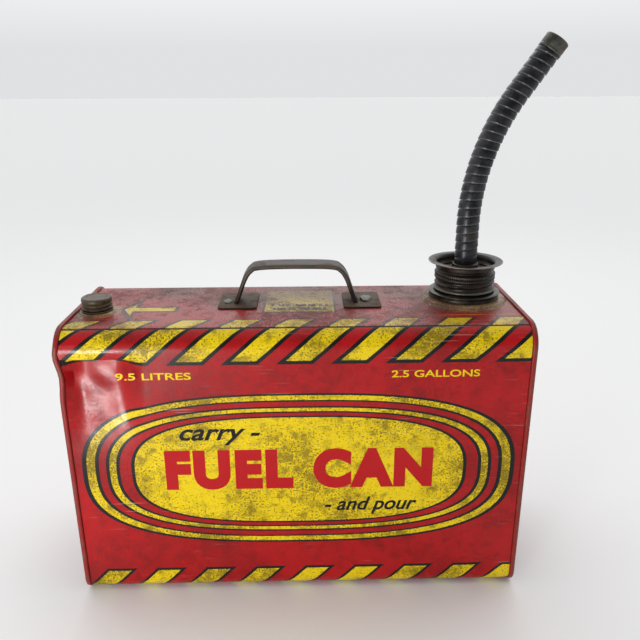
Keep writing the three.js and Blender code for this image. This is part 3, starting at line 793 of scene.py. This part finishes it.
COLLAR_OUTER = [
    (24.0, 233.3), (24.6, 233.6), (24.9, 234.2), (24.6, 234.9), (24.0, 235.4), (23.4, 235.8), (23.2, 236.4),
    (23.2, 237.2), (23.2, 238.0), (23.2, 238.8), (23.2, 239.6), (23.2, 240.4), (23.2, 241.2), (23.3, 242.0),
    (23.7, 242.5), (24.1, 242.9), (24.2, 243.4), (24.1, 244.3), (23.8, 244.7), (23.6, 245.0), (23.8, 245.3),
    (24.1, 245.7), (24.2, 246.3), (24.2, 247.2), (23.9, 247.8), (23.2, 248.4), (22.6, 248.9), (22.3, 249.4),
    (22.3, 249.8), (22.7, 250.3), (23.4, 250.8), (23.6, 251.6), (23.6, 253.2), (23.8, 254.5), (24.4, 255.3),
    (25.6, 255.8), (27.6, 256.0), (29.3, 256.0),
]
COLLAR_BRIM = [(29.6, 256.25), (29.6, 256.65), (29.3, 256.9), (28.9, 256.8)]
COLLAR_INNER = [
    (28.0, 256.85), (26.0, 256.8), (24.5, 256.5), (23.4, 255.7), (22.9, 254.4), (22.8, 252.6), (22.6, 251.0),
    (21.8, 250.4), (20.6, 250.15), (20.4, 249.9), (20.4, 249.5), (20.7, 249.25), (21.4, 249.2), (22.0, 248.6),
    (22.6, 247.6), (22.6, 246.2), (22.4, 244.6), (22.3, 242.6), (22.3, 236.2), (22.9, 235.2), (23.3, 234.3),
    (23.4, 233.6),
]
THREAD_PITCH = 4.5
THREAD_HEIGHT = 1.0
THREAD_SPAN = (236.4, 242.2)
KNURLS = 84
KNURL_DEPTH = 0.45
KNURL_ROWS = (243.4, 246.5)
COLLAR_STEPS = 4 * KNURLS

collar_section = COLLAR_OUTER + COLLAR_BRIM + COLLAR_INNER


def collar_place(i, j):
    i %= len(collar_section)
    radius, height = collar_section[i]
    angle = 2 * math.pi * j / COLLAR_STEPS
    if i < len(COLLAR_OUTER):
        turn = (height / THREAD_PITCH - j / COLLAR_STEPS) % 1
        in_span = ramp(height, THREAD_SPAN[0] - 0.9, THREAD_SPAN[0] + 0.6)
        in_span *= ramp(height, THREAD_SPAN[1] + 0.9, THREAD_SPAN[1] - 0.6)
        radius += THREAD_HEIGHT * in_span * bell(turn, 0.5, 0.17)
        for row in KNURL_ROWS:
            radius -= KNURL_DEPTH * bell(height, row, 0.9) * (0.5 - 0.5 * math.cos(KNURLS * angle))
    reach = radius * MM
    return Vector((NECK.x + reach * math.cos(angle), NECK.y + reach * math.sin(angle), height * MM))


collar = formed("screw_collar", len(collar_section), COLLAR_STEPS, collar_place)
smooth(collar, 60)


def collar_rub(co):
    reach = (co.xy - NECK).length / MM
    height = co.z / MM
    crests = 0.3 * ramp(reach, 24.0, 24.5) if height < 248 else 0.0
    return max(crests, 0.5 * ramp(reach, 28.6, 29.4), 0.25 * bell(height, 234.2, 0.6))


rub_crests(collar, collar_rub)
# Rusty pressed steel: dark brown oxide, ground-in dirt, grey where hands rub the brim.
rusty_steel = worn_steel("rusty_pressed_steel", "1a1714", "302a25", "36271e", 0.22, 0.36, 9, 0.6)
collar.data.materials.append(rusty_steel)
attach(collar, "collar")
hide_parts("spout_collar")

# ---------------------------------------------------------------- flexible metal hose
# One steel strip wound into a tube, each turn hooked over the last, so it can be bent
# by hand and stays bent. It is blacked, and the lip of each turn is rubbed bright.

HOSE_BORE = 7.9
HOSE_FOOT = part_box("hose_section_1")[0].z / MM
STRAIGHT = 35.5
BEND_RADIUS = 176.8
BEND = math.radians(35)
HOSE_LENGTH = STRAIGHT + BEND_RADIUS * BEND + 33
PITCH = 6.5
STRIP_STEPS = 40  # steps in one turn
BLEND_REACH = 13
# Across the strip: how far along the hose, in turns, and the radius.
STRIP_SECTION = [
    (0.00, 8.6), (0.02, 9.0), (0.06, 9.14), (0.14, 9.12), (0.40, 8.98), (0.70, 8.8), (0.87, 8.65),
    (0.92, 8.2), (0.97, 8.1), (1.0, 8.1), (1.0, HOSE_BORE), (0.5, HOSE_BORE), (0.0, HOSE_BORE),
]


def hose_frame(distance):
    """The hose's middle, its inner-bend side and its direction, at a length along it."""
    if distance < STRAIGHT:
        lean, x, z = 0.0, 0.0, distance
    else:
        lean = min((distance - STRAIGHT) / BEND_RADIUS, BEND)
        past = max(distance - STRAIGHT - BEND_RADIUS * BEND, 0)
        x = BEND_RADIUS * (1 - math.cos(lean)) + past * math.sin(lean)
        z = STRAIGHT + BEND_RADIUS * math.sin(lean) + past * math.cos(lean)
    centre = Vector((NECK.x / MM + x, NECK.y / MM, HOSE_FOOT + z))
    return centre, Vector((math.cos(lean), 0, -math.sin(lean))), Vector((math.sin(lean), 0, math.cos(lean)))


def hose_piece(name, start, end):
    """The turns of strip between two lengths along the hose, trimmed square at both."""
    first = math.floor(start / PITCH) - 1
    turns = math.ceil(end / PITCH) - first + 1
    count = len(STRIP_SECTION)

    def place(i, j):
        share, radius = STRIP_SECTION[i % count]
        turn = j / STRIP_STEPS
        distance = min(max((first + turn + share) * PITCH, start), end)
        centre, inward, _ = hose_frame(distance)
        angle = 2 * math.pi * turn
        ring = inward * math.cos(angle) + Vector((0, 1, 0)) * math.sin(angle)
        return (centre + ring * radius) * MM

    return formed(name, count, turns * STRIP_STEPS, place)


def bright_lip(co):
    """How bright the strip is rubbed at a point, from its place in its turn."""
    point = co / MM
    below_bend = point.z <= HOSE_FOOT + STRAIGHT
    centre_x, centre_z = NECK.x / MM + BEND_RADIUS, HOSE_FOOT + STRAIGHT
    if below_bend:
        distance, side_x = point.z - HOSE_FOOT, point.x - NECK.x / MM
    else:
        lean = math.atan2(point.z - centre_z, centre_x - point.x)
        if lean < BEND:
            distance = STRAIGHT + BEND_RADIUS * lean
            side_x = BEND_RADIUS - math.hypot(point.z - centre_z, centre_x - point.x)
        else:
            end, side, ahead = hose_frame(STRAIGHT + BEND_RADIUS * BEND)
            distance = STRAIGHT + BEND_RADIUS * BEND + (point - end).dot(ahead)
            side_x = (point - end).dot(side)
    angle = math.atan2(point.y - NECK.y / MM, side_x) / (2 * math.pi)
    share = (distance / PITCH - angle) % 1
    share = min(share, 1 - share)
    return 1.1 * max(0.0, 1 - share / 0.08)


# Blued spring steel: blue-black and half shiny, with thin bright lips.
blued_steel = worn_steel("blued_strip_steel", "27272a", "434347", "3d362e", 0.16, 0.32, 10, 0.8, "8f908e")
PIVOTS = [STRAIGHT + BEND_RADIUS * BEND * share / 3 for share in range(4)]
cuts = [0.3] + [(a + b) / 2 for a, b in zip(PIVOTS, PIVOTS[1:])] + [HOSE_LENGTH]
for number in range(4):
    hose = hose_piece(f"hose_strip_{number + 1}", cuts[number], cuts[number + 1])
    rub_crests(hose, bright_lip)
    smooth(hose, 50)
    hose.data.materials.append(blued_steel)
    low = hose_frame(PIVOTS[number] - BLEND_REACH)[0] * MM
    high = hose_frame(PIVOTS[number] + BLEND_REACH)[0] * MM
    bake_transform(hose)
    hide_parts(f"hose_section_{number + 1}", *(["hose_section_5"] if number == 3 else []))

# ---------------------------------------------------------------- nozzle
# A short steel ferrule with a rounded rim. Its thin tail is pushed into the bore of the
# hose and sweated there.

NOZZLE_SECTION = [
    (6.9, -4.0), (7.5, -4.0), (7.5, 0.3), (8.9, 0.3), (9.2, 0.6), (9.3, 1.2), (9.3, 1.8), (9.05, 2.3),
    (9.05, 2.8), (9.25, 3.3), (9.2, 8.4), (9.3, 9.4), (9.3, 10.0), (9.1, 10.5), (8.6, 10.8), (7.9, 10.8),
    (7.2, 10.6), (6.9, 10.1),
]
NOZZLE_STEPS = 64
tip_centre, tip_side, tip_ahead = hose_frame(HOSE_LENGTH)


def nozzle_place(i, j):
    radius, ahead = NOZZLE_SECTION[i % len(NOZZLE_SECTION)]
    angle = 2 * math.pi * j / NOZZLE_STEPS
    ring = tip_side * math.cos(angle) + Vector((0, 1, 0)) * math.sin(angle)
    return (tip_centre + tip_ahead * ahead + ring * radius) * MM


nozzle = formed("nozzle_ferrule", len(NOZZLE_SECTION), NOZZLE_STEPS, nozzle_place)
smooth(nozzle, 45)
rub_crests(nozzle, lambda co: 0.25 * ramp((co / MM - tip_centre).dot(tip_ahead), 9.6, 10.6))
# Bare steel gone olive-brown with old fuel, only half shiny.
fuel_stained_steel = worn_steel("fuel_stained_steel", "33332e", "5c5d56", "4a3f33", 0.2, 0.4, 8, 0.6)
nozzle.data.materials.append(fuel_stained_steel)
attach(nozzle, "hose_end")
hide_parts("nozzle_tip")

# ---------------------------------------------------------------- vent
# A small screw vent at the far corner lets air in while pouring: a pressed neck on a
# flange, and a cap with two rolled rings and a cork liner.

vent_neck = turned("vent_flange", [
    (5.5, 221.5), (8.2, 221.5), (8.2, 225.55), (12, 225.55), (12.2, 226.05), (11.8, 226.55), (8.8, 226.6),
    (8.2, 227), (8.2, 233.0), (7.9, 233.2), (5.8, 233.2), (5.5, 233.0),
], VENT, steps=64)
smooth(vent_neck, 40)
rub_crests(vent_neck, lambda co: 0.0)
vent_neck.data.materials.append(rusty_disc)
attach(vent_neck, "can")
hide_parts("vent_neck")

liner = bpy.data.objects["vent_liner"]
cork, tree, shader = new_material("cut_cork", roughness=0.85)
place = add_node(tree, "TexCoord", out=3)
granules = add_node(tree, "TexVoronoi", place, None, 1 / (1.5 * MM), out=1)
shade = add_node(tree, "SeparateColor", granules, out=0)
colour = add_node(tree, "MixRGB", shade, linear("7a5a38"), linear("a9855a"))
tree.links.new(colour, shader.inputs["Base Color"])
tree.links.new(add_node(tree, "Bump", 0.3, 0.15 * MM, None, shade), shader.inputs["Normal"])
liner.data.materials.clear()
liner.data.materials.append(cork)

CAP_STEPS = 96
CAP_SECTION = [
    (8.8, 226.9), (10.9, 226.9), (11.5, 227.2), (11.7, 227.8), (11.5, 228.4), (11.0, 228.8), (10.75, 229.2),
    (11.0, 229.6), (11.5, 230.0), (11.6, 230.8), (11.3, 231.4), (11.05, 231.8), (11.2, 232.2), (11.5, 232.6),
    (11.5, 234.4), (11.4, 235.2), (11.0, 235.9), (10.4, 236.3), (9.9, 236.35), (9.4, 236.1), (8.8, 235.9),
    (4.5, 236.05), (0, 236.1), (0, 235.0), (8.4, 235.0), (8.8, 234.8),
]
vent_cap = turned("vent_screw_cap", CAP_SECTION, VENT, steps=CAP_STEPS)
for vertex in vent_cap.data.vertices:
    reach = (vertex.co.xy - VENT).length
    dome = 0.22 * MM * noise.noise(vertex.co / (5 * MM))
    if vertex.co.z > 0.2355:
        vertex.co.z += dome * ramp(reach, 0.0112, 0.0098)
smooth(vent_cap, 45)
rub_crests(vent_cap, lambda co: 0.12 * ramp(co.z, 235.2 * MM, 236.0 * MM))
tarnished = worn_steel("tarnished_tin_cap", "2e261d", "5c4d38", "4e3c2b", 0.22, 0.45, 5, 0.4)
vent_cap.data.materials.append(tarnished)
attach(vent_cap, "vent_top")
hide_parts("vent_cap")

# ---------------------------------------------------------------- carrying handle
# A steel strap with both edges rolled under for the hand, bent into a flat-topped arch.
# Each foot stands on a square plate and is soldered there.

strap_low, strap_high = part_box("handle_strap")
HANDLE_Y = (strap_low.y + strap_high.y) / 2 / MM
HALF_WIDTH = 10.5
EDGE_ROLL = 1.8
STRAP_SPINE = [
    (-51.6, 225.0), (-47.2, 236.5), (-43.4, 246.2), (-38.6, 253.0), (-30.5, 256.4), (-1.5, 257.2),
    (27.5, 256.4), (35.8, 253.0), (40.6, 246.2), (44.2, 236.5), (48.4, 225.0),
]
STRAP_STEPS = 120
ROLL_STEPS = 8


def rolled_section():
    """Half of the strap's section and its mirror: a web 1 mm thick with round rolled edges."""
    centre = HALF_WIDTH - EDGE_ROLL
    arc = [
        (centre + EDGE_ROLL * math.sin(a), EDGE_ROLL - EDGE_ROLL * math.cos(a))
        for a in (math.radians(270) * step / ROLL_STEPS for step in range(ROLL_STEPS + 1))
    ]
    half = [(0, 0), (centre / 2, 0)] + arc + [(centre - EDGE_ROLL, 1.0), (centre / 2, 1.0), (0, 1.0)]
    other = [(-across, drop) for across, drop in reversed(half[1:-1])]
    return half + other


def along_spine(share):
    """A place on a smooth curve through the spine's points, and its direction."""
    reach = share * (len(STRAP_SPINE) - 1)
    index = min(int(reach), len(STRAP_SPINE) - 2)
    t = reach - index
    last = len(STRAP_SPINE) - 1
    p = [Vector(STRAP_SPINE[min(max(index + k, 0), last)]) for k in (-1, 0, 1, 2)]
    point = 0.5 * (2 * p[1] + (p[2] - p[0]) * t + (2 * p[0] - 5 * p[1] + 4 * p[2] - p[3]) * t * t
                   + (3 * p[1] - p[0] - 3 * p[2] + p[3]) * t ** 3)
    ahead = 0.5 * ((p[2] - p[0]) + 2 * (2 * p[0] - 5 * p[1] + 4 * p[2] - p[3]) * t
                   + 3 * (3 * p[1] - p[0] - 3 * p[2] + p[3]) * t * t)
    return point, ahead.normalized()


strap_section = rolled_section()


def strap_place(i, j):
    across, drop = strap_section[i % len(strap_section)]
    point, ahead = along_spine(j / STRAP_STEPS)
    inward = Vector((ahead.y, -ahead.x))
    place = point + inward * drop
    return Vector((place.x, HANDLE_Y + across, max(place.y, 225.75))) * MM


strap = formed("carrying_strap", len(strap_section), STRAP_STEPS, strap_place)
bpy.ops.object.mode_set(mode="EDIT")
bpy.ops.mesh.select_all(action="SELECT")
bpy.ops.mesh.fill_holes(sides=0)
bpy.ops.object.mode_set(mode="OBJECT")
smooth(strap, 45)
rub_crests(strap, lambda co: 0.12 * ramp(abs(co.y / MM - HANDLE_Y), 8.5, 10.2) * ramp(co.z, 0.235, 0.25))
strap_steel = worn_steel("browned_strap_steel", "1f1915", "3b3027", "4e3829", 0.24, 0.44, 16, 0.4)
strap.data.materials.append(strap_steel)
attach(strap, "can")
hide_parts("handle_strap")

plate_steel = worn_steel("stained_plate_steel", "3a2b1d", "5c4733", "4e3a28", 0.25, 0.65, 6, 0.2)
for side in ("left", "right"):
    low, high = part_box(f"handle_foot_plate_{side}")
    plate = block(f"foot_plate_{side}", low, high)
    bpy.ops.object.mode_set(mode="EDIT")
    pick("EDGE", lambda e: runs_along(e, 2))
    bpy.ops.mesh.bevel(offset=3 * MM, segments=6, affect="EDGES")
    pick("EDGE", lambda e: middle(e).z > high.z - 1e-6)
    bpy.ops.mesh.bevel(offset=0.35 * MM, segments=3, affect="EDGES")
    bpy.ops.object.mode_set(mode="OBJECT")
    smooth(plate, 40)
    rub_crests(plate, lambda co: 0.0)
    plate.data.materials.append(plate_steel)
    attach(plate, "can")
    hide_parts(f"handle_foot_plate_{side}")

# Soft solder, run in by hand: pale grey lumps with a dull oxide skin.
solder, tree, shader = new_material("soft_solder", metallic=0.6, roughness=0.6)
place = add_node(tree, "TexCoord", out=3)
skin = add_node(tree, "TexNoise", place, None, 1 / (2.5 * MM), 4.0, 0.6)
colour = add_node(tree, "MixRGB", skin, linear("4c4a44"), linear("96948c"))
tree.links.new(colour, shader.inputs["Base Color"])
tree.links.new(add_node(tree, "Bump", 0.5, 0.3 * MM, None, skin), shader.inputs["Normal"])
for side in ("left", "right"):
    low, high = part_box(f"solder_bead_{side}")
    bpy.ops.mesh.primitive_ico_sphere_add(subdivisions=5, radius=1)
    bead = bpy.context.object
    bead.name = f"solder_run_{side}"
    half = (high - low) / 2
    for vertex in bead.data.vertices:
        lump = 1 + 0.22 * noise.noise(vertex.co * 1.6 + Vector((3, low.x * 90, 0)))
        up = max(vertex.co.z, -0.05)
        vertex.co = Vector((
            low.x + half.x * (1 + vertex.co.x * lump),
            low.y + half.y * (1 + vertex.co.y * lump),
            low.z + 2 * half.z * up * lump,
        ))
    smooth(bead, 60)
    bead.data.materials.append(solder)
    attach(bead, "can")
    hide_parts(f"solder_bead_{side}")
